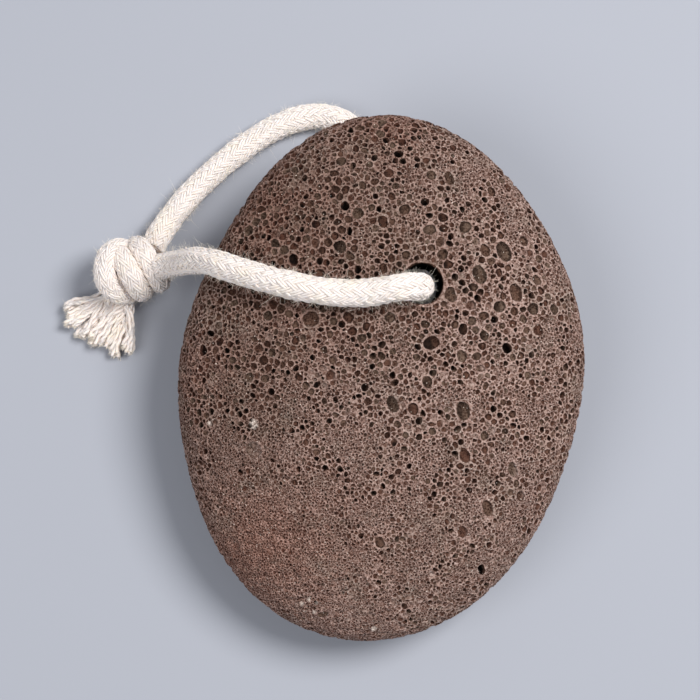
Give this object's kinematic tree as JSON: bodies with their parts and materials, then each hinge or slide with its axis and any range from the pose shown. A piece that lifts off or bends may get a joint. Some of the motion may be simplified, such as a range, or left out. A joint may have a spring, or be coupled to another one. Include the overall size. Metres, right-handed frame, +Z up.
{
  "type": "pumice stone on a cord",
  "caption": "Oval pad of porous pumice with a drilled hole near its narrow end and a knotted loop of braided cotton cord, laid on its back.",
  "frame": {"origin": "on the ground, under the middle of the stone's bounding box", "axes": "+Z up out of the ground, +Y along the stone towards its narrow, drilled end, +X to its right as seen from above"},
  "size_m": [0.0967, 0.1013, 0.0359],
  "materials": {
    "pumice": "matt, open pores",
    "cotton": "undyed, braided"
  },
  "bodies": {
    "root": {"pumice_stone": "pumice", "cord_front": "cotton", "cord_back": "cotton", "cord_knot": "cotton", "frayed_end_left": "cotton", "frayed_end_right": "cotton"}
  },
  "joints": []
}
